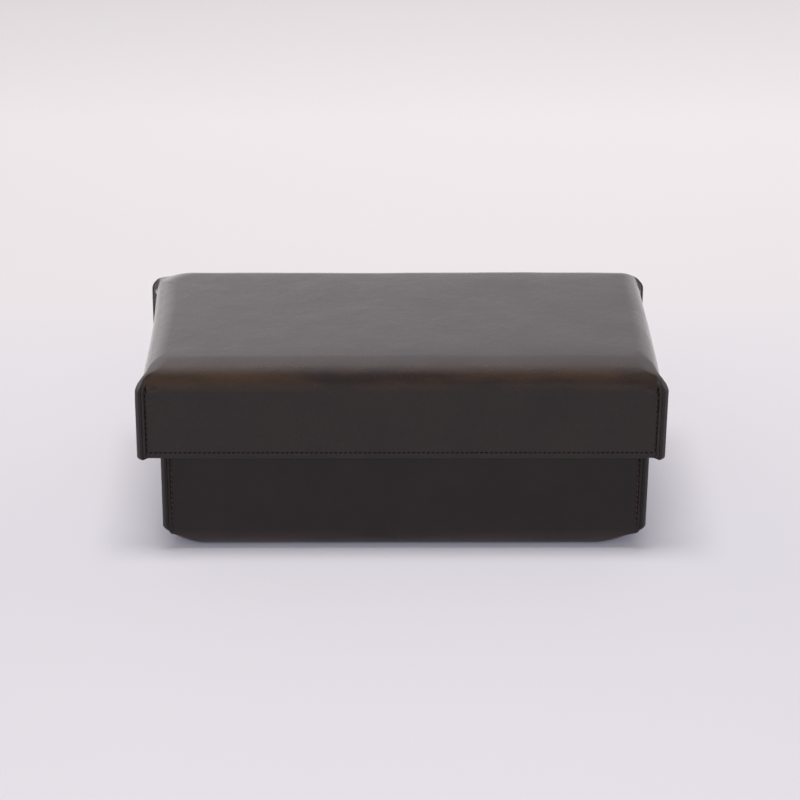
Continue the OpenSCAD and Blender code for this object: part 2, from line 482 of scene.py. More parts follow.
def rim_rows(half):
    """Outlines over the rubbed rim, more worn towards its top."""
    rows = []
    for k in range(RIM_STEPS + 1):
        angle = math.radians(90 * k / RIM_STEPS)
        z = half["height"] - RIM_ROUND * (1 - math.sin(angle))
        ring = outline(half, z, rounding=RIM_ROUND * (1 - math.cos(angle)))
        rows.append((z, RIM_WEAR + (1 - RIM_WEAR) * k / RIM_STEPS, ring))
    return rows


def sheet_rows(half):
    """All outlines of one half's leather, each with its height and its worn share."""
    height, bend = half["height"], half["bend"]
    flat = outline(half, 0.0, inset=bend + FLAT_STEP, soft=0.0, plain=True)
    rows = [(0.0, 0.0, flat)] + bend_rows(half, 0.0, BEND_STEPS, plain=False)
    rows += wall_rows(half) + rim_rows(half)
    for z in (height, height - INNER_LIP, height / 2, bend):
        ring = outline(half, z, inset=INNER_FACE, soft=TIGHT_CORNER, plain=True)
        rows.append((z, 1.0 if z > height / 2 else 0.0, ring))
    return rows + bend_rows(half, INNER_FACE, INNER_BEND_STEPS, plain=True)[::-1]


print("outlines of the lid and the base:", len(sheet_rows(lid)), len(sheet_rows(base)))

# %% [markdown]
# ## Tools for editing
#
# An operator acts on whatever is selected, so every step first deselects all and then selects
# its own piece. Numbers that a finish needs later, such as how worn a point is, are stored on
# the mesh as attributes, which a material reads by name. They could be painted on by hand, but
# the outlines already know them.

# %% Selecting, and storing numbers on a mesh
def deselect_all():
    if bpy.context.object and bpy.context.object.mode != "OBJECT":
        bpy.ops.object.mode_set(mode="OBJECT")
    bpy.ops.object.select_all(action="DESELECT")


def make_active(piece):
    deselect_all()
    piece.select_set(True)
    bpy.context.view_layer.objects.active = piece


def add_values(piece, name, values):
    """Stores one number for each point, for the materials to read."""
    layer = piece.data.attributes.new(name, "FLOAT", "POINT")
    layer.data.foreach_set("value", np.asarray(values, dtype=np.float32))


deselect_all()
print("selected:", len(bpy.context.selected_objects))

# %% [markdown]
# ## Folding the sheet
#
# A grid is the leather before it is bent. Every row of the grid is laid on the outline of its
# height, and its two ends meet at a seam that is welded. Moving the points of a grid keeps clean
# strips of faces, which no boolean cut would do.

# %% Lay a grid on the outlines
# This share turns the bends' dye redder, as stretched hide is, and lighter, which is painted light
# falling on the bends.
STRETCH_AND_PAINTED_LIGHT_STARTS, STRETCH_AND_PAINTED_LIGHT_FULL = 0.08, 0.45
STRETCH_AND_PAINTED_LIGHT_FADES, STRETCH_AND_PAINTED_LIGHT_ENDS = 0.6, 1.3


def stretch_and_painted_light_share(half, z):
    """How far the hide is stretched round the bend, where its dye turns redder, and lighter as
    painted light.
    """
    rise = z / half["bend"]
    grows = smoothstep(STRETCH_AND_PAINTED_LIGHT_STARTS, STRETCH_AND_PAINTED_LIGHT_FULL, rise)
    return grows * smoothstep(STRETCH_AND_PAINTED_LIGHT_ENDS, STRETCH_AND_PAINTED_LIGHT_FADES, rise)


def grid_on_outlines(name, half, rows):
    """Adds a grid, lays each of its rows on one outline, and stores wear with painted groove shade,
    and looseness.
    """
    around = len(rows[0][2])
    deselect_all()
    bpy.ops.mesh.primitive_grid_add(
        x_subdivisions=around, y_subdivisions=len(rows) - 1, size=1, location=(0, 0, 0)
    )
    walls = bpy.context.object
    walls.name = name
    flat = np.empty(len(walls.data.vertices) * 3)
    walls.data.vertices.foreach_get("co", flat)
    flat = flat.reshape(-1, 3)
    column = np.rint((flat[:, 0] + 0.5) * around).astype(int) % around
    row = np.rint((flat[:, 1] + 0.5) * (len(rows) - 1)).astype(int)
    table = np.array([
        [(x, y, z, max(darkened_share, rim), loose) for x, y, darkened_share, loose in ring] for z, rim, ring in rows
    ])
    placed = table[row, column]
    walls.data.vertices.foreach_set("co", np.ascontiguousarray(placed[:, :3]).ravel())
    # The first stored number is burnish on edges and rim, and painted shade in the stitch grooves.
    add_values(walls, "burnish_and_groove_shade", placed[:, 3])
    add_values(walls, "loose", placed[:, 4])
    add_values(walls, "stretch_and_painted_light", [stretch_and_painted_light_share(half, z) for z in placed[:, 2]])
    print(name, "sheet:", around, "by", len(rows), "points")
    return walls


print("stretch half way up the lid's bend:", round(stretch_and_painted_light_share(lid, lid["bend"] / 2), 3))

# %% [markdown]
# ## The flat face
#
# The flat face of a stuffed and boarded lid isn't a plane: it rises a little towards its middle.
# One large polygon would be enough for a plane, but it can't rise, so a second grid closes the
# face, with its cells matched to the walls' points. Then both grids are welded into one sheet.

# %% Close the flat face, weld and turn the faces outwards
DOME_ACROSS, DOME_ALONG = 8, 6
WELD_DISTANCE = 1e-6


def add_flat_face(walls, half):
    """Joins a grid whose edge points fit the innermost outline of the walls."""
    deselect_all()
    bpy.ops.mesh.primitive_grid_add(
        x_subdivisions=LONG_CELLS, y_subdivisions=SHORT_CELLS, size=1, location=(0, 0, 0)
    )
    face = bpy.context.object
    for point in face.data.vertices:
        point.co.x = eased(point.co.x + 0.5) - 0.5
        point.co.y = eased(point.co.y + 0.5) - 0.5
    face.scale = [half[way] - 2 * (half["bend"] + FLAT_STEP) for way in ("length", "depth")] + [1]
    bpy.ops.object.transform_apply(location=False, rotation=False, scale=True)
    add_values(face, "loose", [1.0] * len(face.data.vertices))
    face.select_set(True)
    walls.select_set(True)
    bpy.context.view_layer.objects.active = walls
    bpy.ops.object.join()


def raise_dome(leather, half):
    """Lets the flat face rise towards its middle, a little more to the right."""
    for point in leather.data.vertices:
        x, y, z = point.co
        across = (1 - abs(2 * x / half["length"]) ** DOME_ACROSS) * (1 + x / half["length"])
        along = 1 - abs(2 * y / half["depth"]) ** DOME_ALONG
        if z < half["bend"] and across > 0 and along > 0:
            point.co.z = z - half["dome"] * across * along * (1 - z / half["bend"])


def close_sheet(piece):
    """Welds what meets, fills what is still open, and turns every face outwards."""
    make_active(piece)
    bpy.ops.object.mode_set(mode="EDIT")
    bpy.ops.mesh.select_all(action="SELECT")
    bpy.ops.mesh.remove_doubles(threshold=WELD_DISTANCE)
    bpy.ops.mesh.select_all(action="SELECT")
    bpy.ops.mesh.fill_holes(sides=0)
    bpy.ops.mesh.select_all(action="SELECT")
    bpy.ops.mesh.normals_make_consistent(inside=False)
    bpy.ops.object.mode_set(mode="OBJECT")


print("cells of the flat face:", LONG_CELLS * SHORT_CELLS)

# %% [markdown]
# ## Hollows in thick hide
#
# Thick hide never lies quite flat: its flat face and its bends have shallow hollows, and only the
# walls are held by their boards. A Displace modifier with a cloud texture makes them, and a
# vertex group keeps it off the walls. A bump map would shade them, but not change the outline.

# %% Settle the leather
HOLLOW_SIZE = 0.07


def settle(leather, half):
    """Displaces the loose parts of a leather by shallow clouds."""
    group = leather.vertex_groups.new(name="loose")
    for index, value in enumerate(leather.data.attributes["loose"].data):
        if value.value > 0:
            group.add([index], value.value, "REPLACE")
    hollows = bpy.data.textures.new("hollows", "CLOUDS")
    hollows.noise_scale = HOLLOW_SIZE
    hollows.noise_depth = 2
    settling = leather.modifiers.new("settle", "DISPLACE")
    settling.texture = hollows
    settling.texture_coords = "LOCAL"
    settling.vertex_group = "loose"
    settling.mid_level = half["settle_middle"]
    settling.strength = half["settle_depth"]
    make_active(leather)
    bpy.ops.object.modifier_apply(modifier="settle")


print("deepest hollow of the lid, in mm:", round(lid["settle_depth"] / 2 / MM, 2))

# %% [markdown]
# ## Both halves
#
# The lid is folded like the base and then turned over, as a maker would do. The placing is
# applied to the mesh, so that the finished piece's own origin stays at the middle of the scene,
# as the frame asks. Smoothing by angle keeps the bends soft and the fins' edges crisp.

# %% Fold both halves
SMOOTH_BELOW = math.radians(50)


def set_in_place(piece, half):
    """Turns the lid over, puts a half's piece where the CAD half is, and frees its transform."""
    make_active(piece)
    if half["turned"]:
        turned_over = Matrix.Rotation(math.pi, 4, "X") @ piece.matrix_world
        piece.matrix_world = Matrix.Translation((half["middle"], 0, half["high"])) @ turned_over
    else:
        place = Matrix.Translation((half["middle"], 0, half["low"]))
        piece.matrix_world = place @ piece.matrix_world
    bpy.ops.object.transform_apply(location=True, rotation=True, scale=True)


leathers = {}
for half, node in ((lid, "lid_shell"), (base, "base_shell")):
    leather = grid_on_outlines(half["body"] + "_leather", half, sheet_rows(half))
    add_flat_face(leather, half)
    raise_dome(leather, half)
    close_sheet(leather)
    settle(leather, half)
    set_in_place(leather, half)
    bpy.ops.object.shade_smooth_by_angle(angle=SMOOTH_BELOW)
    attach(leather, half["body"])
    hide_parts(node)
    leathers[half["body"]] = leather
    print(leather.name, "faces:", len(leather.data.polygons))

# %% [markdown]
# ## Lining
#
# The suede is one sheet too. It lies over the boards, runs up to just short of the rim, and has
# an outer and an inner face with its thickness between them. A Solidify modifier could give that
# thickness, but outlines at two depths follow the boards and keep the corners even.

# %% Lining
LINING = 0.6 * MM
LINING_BEND_STEPS = 12
LINING_BELOW_RIM = 0.6 * MM


def lining_rows(half):
    """Outlines up the side that lies on the boards, and back down the side that is seen."""
    outer, inner = LEATHER + BOARD, LEATHER + BOARD + LINING
    top, bend = half["height"] - LINING_BELOW_RIM, half["bend"]
    rows = bend_rows(half, outer, LINING_BEND_STEPS, plain=True)
    for depth, heights in ((outer, (bend, top)), (inner, (top, bend))):
        for z in heights:
            rows.append((z, 0.0, outline(half, z, inset=depth, soft=TIGHT_CORNER, plain=True)))
    return rows + bend_rows(half, inner, LINING_BEND_STEPS, plain=True)[::-1]


def fold_lining(half):
    """Folds the suede of one half and sets it in place."""
    suede_sheet = grid_on_outlines(half["body"] + "_suede", half, lining_rows(half))
    close_sheet(suede_sheet)
    set_in_place(suede_sheet, half)
    bpy.ops.object.shade_smooth_by_angle(angle=SMOOTH_BELOW)
    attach(suede_sheet, half["body"])
    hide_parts(half["body"] + "_lining")
    return suede_sheet


print("outlines of one lining:", len(lining_rows(lid)))

# %% [markdown]
# ## Boards of the flat faces
#
# A board keeps each flat face flat between leather and suede. Its corners are cut round, to stay
# inside the soft corners of the sheet. It starts as a box, its four upright edges are selected by
# their height, and a bevel rounds them. A boolean cut could do it too, with rougher edges.

# %% Boards of the flat faces
BOARD_CORNER = 24 * MM
BOARD_CORNER_STEPS = 8
FACE_BOARDS = {"lid": "lid_top_board", "base": "base_floor_board"}

def round_upright_edges(board):
    """Selects the four upright edges of a board by their height, and bevels them."""
    bpy.ops.object.mode_set(mode="EDIT")
    bpy.ops.mesh.select_mode(type="EDGE")
    bpy.ops.mesh.select_all(action="DESELECT")
    shape = bmesh.from_edit_mesh(board.data)
    for edge in shape.edges:
        if abs(edge.verts[0].co.z - edge.verts[1].co.z) > BOARD / 2:
            edge.select_set(True)
    bmesh.update_edit_mesh(board.data)
    bpy.ops.mesh.bevel(offset=BOARD_CORNER, segments=BOARD_CORNER_STEPS, affect="EDGES")
    bpy.ops.object.mode_set(mode="OBJECT")


def cut_face_board(half):
    """Cuts the board of one flat face and sets it in place."""
    deselect_all()
    bpy.ops.mesh.primitive_cube_add(size=1, location=(0, 0, LEATHER + BOARD / 2))
    board = bpy.context.object
    board.name = half["body"] + "_face_stiffener"
    board.scale = [half[way] - 2 * half["bend"] for way in ("length", "depth")] + [BOARD]
    bpy.ops.object.transform_apply(location=True, rotation=False, scale=True)
    round_upright_edges(board)
    set_in_place(board, half)
    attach(board, half["body"])
    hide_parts(FACE_BOARDS[half["body"]])
    return board


print("board corners are cut to a radius of, in mm:", round(BOARD_CORNER / MM))

# %% Line both halves
linings, boards = [], []
for half in (lid, base):
    linings.append(fold_lining(half))
    boards.append(cut_face_board(half))
print("linings and boards:", [(piece.name, len(piece.data.vertices)) for piece in linings + boards])

# %% [markdown]
# ## Stitches
#
# One stitch is a sphere drawn out into a short bead that dives into the leather at both ends. An
# Array modifier repeats it along a row, as an awl does at an even pitch. A curve along the whole
# row would be simpler, but a seam is a line of separate stitches with leather between them.

# %% One row of stitches
STITCH_SHARE = 0.72
STITCH_FLAT = 0.9
STITCH_SLANT = math.radians(8)
STITCH_SINK = 0.05 * MM


def stitch_bead(pitch, width):
    """One stitch: a sphere laid down, drawn out along the row, and set at a slant."""
    deselect_all()
    bpy.ops.mesh.primitive_uv_sphere_add(segments=8, ring_count=6, radius=0.5, location=(0, 0, 0))
    bead = bpy.context.object
    bead.rotation_euler = (0, math.pi / 2, 0)
    bpy.ops.object.transform_apply(location=False, rotation=True, scale=False)
    bead.scale = (STITCH_SHARE * pitch, width, STITCH_FLAT * width)
    bpy.ops.object.transform_apply(location=False, rotation=False, scale=True)
    bead.rotation_euler = (0, 0, STITCH_SLANT)
    bpy.ops.object.transform_apply(location=False, rotation=True, scale=False)
    return bead


def stitch_row(start, along, outward, count, pitch, width):
    """Stitches at an even pitch from start, lying on the face that looks outward."""
    bead = stitch_bead(pitch, width)
    row = bead.modifiers.new("row", "ARRAY")
    row.count = count
    row.use_relative_offset = False
    row.use_constant_offset = True
    row.constant_offset_displace = (pitch, 0, 0)
    bpy.ops.object.modifier_apply(modifier="row")
    bpy.ops.object.shade_smooth()
    place = Matrix((along, outward.cross(along), outward)).transposed().to_4x4()
    first = start + along * pitch / 2 - outward * STITCH_SINK
    bead.matrix_world = Matrix.Translation(first) @ place
    bpy.ops.object.transform_apply(location=True, rotation=True, scale=True)
    return bead


print("length of one seam stitch, in mm:", round(STITCH_SHARE * SEAM_PITCH / MM, 2))

# %% [markdown]
# ## One thread from its rows
#
# No hand keeps a row quite straight. The rows of one thread are joined, and a Displace modifier
# with a fine cloud texture lets the stitches wander a little to the side: along X for the upright
# seams, and up and down for the rims. Random numbers could move each stitch, but the texture
# gives the same thread on every run.

# %% Join the rows of a thread
WANDER = 0.25 * MM
WANDER_SIZE = 4 * MM


def joined_thread(name, rows, half, direction):
    """Joins the rows of one thread, lets them wander, and sets the thread in place."""
    deselect_all()
    for row in rows:
        row.select_set(True)
    bpy.context.view_layer.objects.active = rows[0]
    bpy.ops.object.join()
    thread = bpy.context.object
    thread.name = name
    hand = bpy.data.textures.new("hand", "CLOUDS")
    hand.noise_scale = WANDER_SIZE
    uneven = thread.modifiers.new("uneven", "DISPLACE")
    uneven.texture = hand
    uneven.texture_coords = "LOCAL"
    uneven.direction = direction
    uneven.strength = WANDER
    bpy.ops.object.modifier_apply(modifier="uneven")
    set_in_place(thread, half)
    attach(thread, half["body"])
    return thread


print("stitches wander by at most, in mm:", round(WANDER / 2 / MM, 3))

# %% [markdown]
# ## Corner seams
#
# Each fin is sewn through close to its root, so both of its sides show a row of stitches, which
# lies in the groove that the stitches have pulled. The row starts above the bend and ends before
# the rim. Its place comes from the same sizes as the groove, so that both always agree.

# %% Seam threads of the corners
SEAM_WIDTH = 0.9 * MM
SEAM_DEPTH = 0.2 * MM
SEAM_LEAN = 0.35
SLOPE_CLEAR = 1.5 * MM
GROOVE_START = FOLD / math.tan(FOLD_ANGLE) - LEATHER
GROOVE_AT = GROOVE_START + SIDE_SHARES[1] * (FIN_STAND - FIN_EDGE - GROOVE_START)
CORNERS = {
    "front_left": (-1, -1), "front_right": (1, -1), "back_left": (-1, 1), "back_right": (1, 1),
}

threads = []
for half in (lid, base):
    clear = SLOPE_CLEAR if half["rim_slope"] > 0 else 0
    last = half["height"] - RIM_STITCH - clear
    count = int((last - half["seam_from"]) / SEAM_PITCH)
    for corner, (side_x, side_y) in CORNERS.items():
        turned_y = -side_y if half["turned"] else side_y
        diagonal = Vector((side_x, turned_y, 0)).normalized()
        root = Vector((
            side_x * half["length"] / 2, turned_y * half["depth"] / 2, half["seam_from"]
        ))
        rows = []
        for side in (-1, 1):
            outward = side * Vector((-diagonal.y, diagonal.x, 0))
            start = root + diagonal * GROOVE_AT + outward * (LEATHER - SEAM_DEPTH)
            facing = (outward + SEAM_LEAN * diagonal).normalized()
            rows.append(stitch_row(start, Vector((0, 0, 1)), facing, count, SEAM_PITCH, SEAM_WIDTH))
        threads.append(joined_thread(f"{half['body']}_{corner}_seam_thread", rows, half, "X"))
    print(half["body"], "stitches in one corner row:", count)

# %% [markdown]
# ## Rim seams
#
# A finer row of stitches runs round each rim and holds the lining to the leather. It stops short
# of the fins on every wall, because a machine can't turn into the fold. Here each wall has one
# straight row. That is right on straight walls, but the lid's short walls bow: in their middle
# the row stands a little off the leather on the left, and sinks into it on the right. A row laid
# along the bow would be truer.

# %% Rim threads
RIM_PITCH = 2.8 * MM
RIM_WIDTH = 0.75 * MM
WALLS = ((0, 1, "length", "depth"), (0, -1, "length", "depth"), (1, 0, "depth", "length"),
         (-1, 0, "depth", "length"))

for half in (lid, base):
    rows = []
    for side_x, side_y, own_way, cross_way in WALLS:
        outward = Vector((side_x, side_y, 0))
        along = Vector((0, 0, 1)).cross(outward)
        count = int(2 * (half[own_way] / 2 - TIGHT_CORNER) / RIM_PITCH)
        start = outward * (half[cross_way] / 2) - along * (count * RIM_PITCH / 2)
        start += Vector((0, 0, half["height"] - RIM_STITCH))
        rows.append(stitch_row(start, along, outward, count, RIM_PITCH, RIM_WIDTH))
    threads.append(joined_thread(f"{half['body']}_rim_thread", rows, half, "Z"))
print("thread pieces:", len(threads))

# %% [markdown]
# ## Tools for materials
#
# A material is a net of nodes. Built by hand, each node is added, set and wired; these helpers do
# the same in one line, so that a finish can be read from the top down. Colours are written as
# they look on a screen and turned into the light values that a material needs.

# %% Adding and feeding nodes
def feed(tree, node, **inputs):
    """Sets a node's inputs, or links them where the value is a socket: by name, or i and index."""
    for key, value in inputs.items():
        by_index = key[0] == "i" and key[1:].isdigit()
        socket = node.inputs[int(key[1:]) if by_index else key.replace("_", " ")]
        if isinstance(value, bpy.types.NodeSocket):
            tree.links.new(value, socket)
        else:
            socket.default_value = value


def add_node(tree, kind, settings=None, **inputs):
    """Adds a node, sets its properties, and feeds its inputs."""
    node = tree.nodes.new(kind)
    for key, value in (settings or {}).items():
        setattr(node, key, value)
    feed(tree, node, **inputs)
    return node


def new_group(name, inputs, outputs):
    """A node group with named sockets: the group, its given inputs and its output node."""
    group = bpy.data.node_groups.new(name, "ShaderNodeTree")
    for direction, sockets in (("INPUT", inputs), ("OUTPUT", outputs)):
        for label, kind in sockets.items():
            group.interface.new_socket(label, in_out=direction, socket_type="NodeSocket" + kind)
    return group, group.nodes.new("NodeGroupInput").outputs, group.nodes.new("NodeGroupOutput")


def placed_group(tree, group, **inputs):
    """Places a node group in a material with its own values, and gives back its outputs."""
    return add_node(tree, "ShaderNodeGroup", {"node_tree": group}, **inputs).outputs


print("node groups so far:", len(bpy.data.node_groups))

# %% Patterns, ranges and mixes
def noise(tree, vector, scale, detail=3.0, roughness=0.5):
    node = add_node(
        tree, "ShaderNodeTexNoise", Vector=vector, Scale=scale, Detail=detail, Roughness=roughness
    )
    return node.outputs["Fac"]


def mapped(tree, value, from_min, from_max, to_min=0.0, to_max=1.0):
    """Draws a range of values out to another range, and holds it at both ends."""
    node = add_node(tree, "ShaderNodeMapRange", Value=value, From_Min=from_min, From_Max=from_max,
                    To_Min=to_min, To_Max=to_max)
    return node.outputs["Result"]


def combined(tree, operation, first, second):
    node = add_node(tree, "ShaderNodeMath", {"operation": operation}, i0=first, i1=second)
    return node.outputs[0]


def mixed(tree, share, first, second):
    """Mixes two colours: all first at a share of 0, all second at 1."""
    return add_node(
        tree, "ShaderNodeMix", {"data_type": "RGBA"}, i0=share, i6=first, i7=second
    ).outputs[2]


def bumped(tree, height, strength, distance, **normal):
    """Relief on the surface, on top of an earlier normal where one is given."""
    return add_node(
        tree, "ShaderNodeBump", Height=height, Strength=strength, Distance=distance, **normal
    ).outputs["Normal"]


def object_place(tree):
    return tree.nodes.new("ShaderNodeTexCoord").outputs["Object"]


def srgb(red, green, blue):
    """A colour written as it looks on a screen, from 0 to 255."""
    def linear(value):
        value /= 255
        return value / 12.92 if value <= 0.04045 else ((value + 0.055) / 1.055) ** 2.4
    return (linear(red), linear(green), linear(blue), 1.0)


print("light value of a screen's mid grey:", round(srgb(128, 128, 128)[0], 3))

# %% [markdown]
# ## The marks of a hide
#
# Hide has clouded dye, streaks where wax was rubbed in, a fine grain, pores and light scuffs.
# Both leathers share them, so they are one node group: it gives out masks and heights only, and
# each material decides what colour or depth they have. They read the place in the object, so the
# pattern runs on through bends and fins, which no unwrapped picture would do without seams.

# %% Hide group
STREAK_PLACE, STREAK_STRETCH = (2.3, 0.6, 0.2), (14.0, 30.0, 60.0)
SCUFF_STRETCH = (60.0, 60.0, 900.0)

hide, given, hide_out = new_group(
    "hide",
    {"Place": "Vector", "Cloud Scale": "Float", "Grain Scale": "Float", "Pore Scale": "Float"},
    {label: "Float" for label in ("Clouds", "Patches", "Grain", "Scuffs", "Pores")},
)
streaks = add_node(
    hide, "ShaderNodeMapping", Vector=given["Place"], Location=STREAK_PLACE, Scale=STREAK_STRETCH
).outputs["Vector"]
scratches = add_node(
    hide, "ShaderNodeMapping", Vector=given["Place"], Scale=SCUFF_STRETCH
).outputs["Vector"]
pore_edges = add_node(
    hide, "ShaderNodeTexVoronoi", {"feature": "DISTANCE_TO_EDGE"}, Vector=given["Place"],
    Scale=given["Pore Scale"],
).outputs["Distance"]
feed(
    hide, hide_out,
    Clouds=noise(hide, given["Place"], given["Cloud Scale"], detail=4.0, roughness=0.6),
    Patches=mapped(hide, noise(hide, streaks, 1.0, detail=4.0, roughness=0.62), 0.4, 0.62),
    Grain=noise(hide, given["Place"], given["Grain Scale"], detail=4.0, roughness=0.65),
    Scuffs=mapped(hide, noise(hide, scratches, 1.0, detail=5.0, roughness=0.7), 0.58, 0.72),
    Pores=mapped(hide, pore_edges, 0.0, 0.22),
)
print("hide gives out:", [socket.name for socket in hide_out.inputs if socket.name])

# %% [markdown]
# ## Leather
#
# Waxed leather is nearly black-brown, and most of what is seen on it is a soft gloss. The dye is
# clouded, and redder where the hide is stretched round the bends; it is lighter there too, which is
# painted light on the bends. Burnished edges are darker, and the stitch grooves of the fins are as
# dark, which is painted shade; the wax on both is rubbed duller. The base's leather is a darker
# copy, painted shade under the lid's overhang. The numbers stored on the mesh say where stretch,
# burnish and groove shade are, which a pattern alone couldn't know.

# %% Leather material
CLOUD_SCALE, GRAIN_SCALE, PORE_SCALE = 38.0, 900.0, 620.0
# The edge dye is the colour of burnished edges, and it is also painted shade in the stitch grooves.
PORE_DYE, EDGE_AND_GROOVE_SHADE_DYE = srgb(14, 10, 9), srgb(17, 13, 12)
GRAIN_DEPTH, PORE_DEPTH, WAVE_DEPTH = 0.06 * MM, 0.05 * MM, 0.8 * MM
GLASSY_IOR = 1.5


def new_material(name):
    material = bpy.data.materials.new(name)
    material.use_nodes = True
    return material, material.node_tree, material.node_tree.nodes["Principled BSDF"]


def stored(tree, name):
    """A number stored on the mesh, point by point."""
    return add_node(tree, "ShaderNodeAttribute", {"attribute_name": name}).outputs["Fac"]


def leather_dye(tree, marks, burnish_and_groove_shade, dark, warm, bend):
    """Clouded dye with dark pores; on the bends, in patches, redder as stretched hide and lighter
    as painted light; darkest on burnished edges, and in the stitch grooves as painted shade.
    """
    dye = mixed(tree, mapped(tree, marks["Clouds"], 0.38, 0.66), dark, warm)
    dye = mixed(tree, mapped(tree, marks["Pores"], 0.0, 1.0, 0.25, 0.0), dye, PORE_DYE)
    patchy = mapped(tree, marks["Patches"], 0.0, 1.0, 0.1, 1.0)
    dye = mixed(tree, combined(tree, "MULTIPLY", stored(tree, "stretch_and_painted_light"), patchy), dye, bend)
    return mixed(tree, burnish_and_groove_shade, dye, EDGE_AND_GROOVE_SHADE_DYE)


def leather_roughness(tree, marks, burnish_and_groove_shade, roughness):
    """Wax of uneven gloss, duller on scuffs and on burnished edges."""
    rough = mapped(tree, marks["Clouds"], 0.3, 0.7, roughness + 0.05, roughness - 0.04)
    rough = combined(tree, "ADD", rough, combined(tree, "MULTIPLY", marks["Scuffs"], 0.07))
    return combined(tree, "ADD", rough, combined(tree, "MULTIPLY", burnish_and_groove_shade, 0.2))


def leather_material(name, dark, warm, bend, roughness, specular):
    material, tree, surface = new_material(name)
    marks = placed_group(tree, hide, Place=object_place(tree), Cloud_Scale=CLOUD_SCALE,
                         Grain_Scale=GRAIN_SCALE, Pore_Scale=PORE_SCALE)
    burnish_and_groove_shade = stored(tree, "burnish_and_groove_shade")
    grain = bumped(tree, marks["Grain"], 0.35, GRAIN_DEPTH)
    pored = bumped(tree, marks["Pores"], 0.25, PORE_DEPTH, Normal=grain)
    feed(
        tree, surface,
        Base_Color=leather_dye(tree, marks, burnish_and_groove_shade, dark, warm, bend),
        Roughness=leather_roughness(tree, marks, burnish_and_groove_shade, roughness),
        Normal=bumped(tree, marks["Clouds"], 0.5, WAVE_DEPTH, Normal=pored),
        Specular_IOR_Level=specular,
        IOR=GLASSY_IOR,
    )
    return material


waxed = {
    # The third colour of each leather, on the bends, is lighter than the rest: painted light on the
    # bends.
    "lid": leather_material(
        "waxed_lid_leather", srgb(30, 21, 21), srgb(37, 26, 24), srgb(60, 43, 28), 0.27, 0.46
    ),
    # The base's copy of the leather has darker dye than the lid's: painted shade for the light that
    # the lid's overhang keeps off the base.
    "base": leather_material(
        "waxed_base_leather_painted_shade", srgb(26, 19, 20), srgb(32, 24, 24), srgb(54, 39, 35), 0.32, 0.38
    ),
}
print("leathers:", [material.name for material in waxed.values()])

# %% [markdown]
# ## Waxed thread
#
# The thread is linen, twisted from plies and drawn through wax. The twist is a slanting wave on
# each stitch's own map, which turns with the stitch; on the object's coordinates it would slide
# along the row. Both halves are sewn with one red-brown thread; on the lid it is painted
# near-black, as painted shade for the grooves and holes it lies in.

# %% Twisted thread
THREAD_SPECULAR = 0.2
PLY_DEPTH = 0.1 * MM

twist, given, twist_out = new_group(
    "twisted_thread",
    {"Place": "Vector", "Along": "Vector", "Colour": "Color", "Deep": "Color"},
    {"Colour": "Color", "Roughness": "Float", "Ply": "Float"},
)
turned = add_node(
    twist, "ShaderNodeMapping", Vector=given["Along"], Rotation=(0, 0, 0.6), Scale=(3, 9, 1)
).outputs["Vector"]
ply = add_node(
    twist, "ShaderNodeTexWave", {"wave_type": "BANDS"}, Vector=turned, Scale=1.0, Distortion=0.4
).outputs["Fac"]
darkened_share = mapped(twist, noise(twist, given["Place"], 260.0), 0.35, 0.65)
# The Deep colour in the ply bands is painted shade between the plies; in random patches it also
# darkens the thread.
strand = mixed(twist, mapped(twist, ply, 0.2, 0.7), given["Deep"], given["Colour"])
feed(
    twist, twist_out,
    Colour=mixed(twist, combined(twist, "MULTIPLY", darkened_share, 0.5), strand, given["Deep"]),
    Roughness=mapped(twist, ply, 0.0, 1.0, 0.8, 0.55),
    Ply=ply,
)


def thread_material(name, colour, deep):
    material, tree, surface = new_material(name)
    along = tree.nodes.new("ShaderNodeTexCoord").outputs["UV"]
    plies = placed_group(
        tree, twist, Place=object_place(tree), Along=along, Colour=colour, Deep=deep
    )
    feed(tree, surface, Base_Color=plies["Colour"], Roughness=plies["Roughness"],
         Normal=bumped(tree, plies["Ply"], 0.6, PLY_DEPTH), Specular_IOR_Level=THREAD_SPECULAR)
    return material


thread_on_base = thread_material("waxed_red_brown_thread", srgb(126, 92, 84), srgb(52, 34, 30))
# The lid's thread is the base's red-brown thread painted near-black, as painted shade for the
# grooves and holes that its stitches lie in.
thread_painted_shade_on_lid = thread_material("waxed_thread_painted_shade", srgb(26, 18, 17), srgb(9, 6, 6))
print("threads:", thread_on_base.name, thread_painted_shade_on_lid.name)

# %% [markdown]
# ## Suede and leatherboard
#
# Suede is a nap of short fibres, and leatherboard is pressed from leather fibres, so one group
# serves both: fibres in two tones, with clouds where they were stroked, and no gloss. Hair
# particles would show single fibres, but they are far too fine to be seen from a step away.

# %% Fibres of suede and board
NAP_SPECULAR = 0.15
NAP_DEPTH = 0.3 * MM

nap, given, nap_out = new_group(
    "nap",
    {"Place": "Vector", "Fibre Scale": "Float", "Dark": "Color", "Light": "Color"},
    {"Colour": "Color", "Roughness": "Float", "Fibre": "Float"},
)
cloud = mapped(nap, noise(nap, given["Place"], 45.0, detail=4.0), 0.35, 0.65)
fibre = noise(nap, given["Place"], given["Fibre Scale"], detail=5.0, roughness=0.7)
tone = mixed(nap, mapped(nap, fibre, 0.35, 0.68), given["Dark"], given["Light"])
feed(
    nap, nap_out,
    Colour=mixed(nap, combined(nap, "MULTIPLY", cloud, 0.45), tone, given["Dark"]),
    Roughness=mapped(nap, fibre, 0.3, 0.7, 0.98, 0.86),
    Fibre=fibre,
)


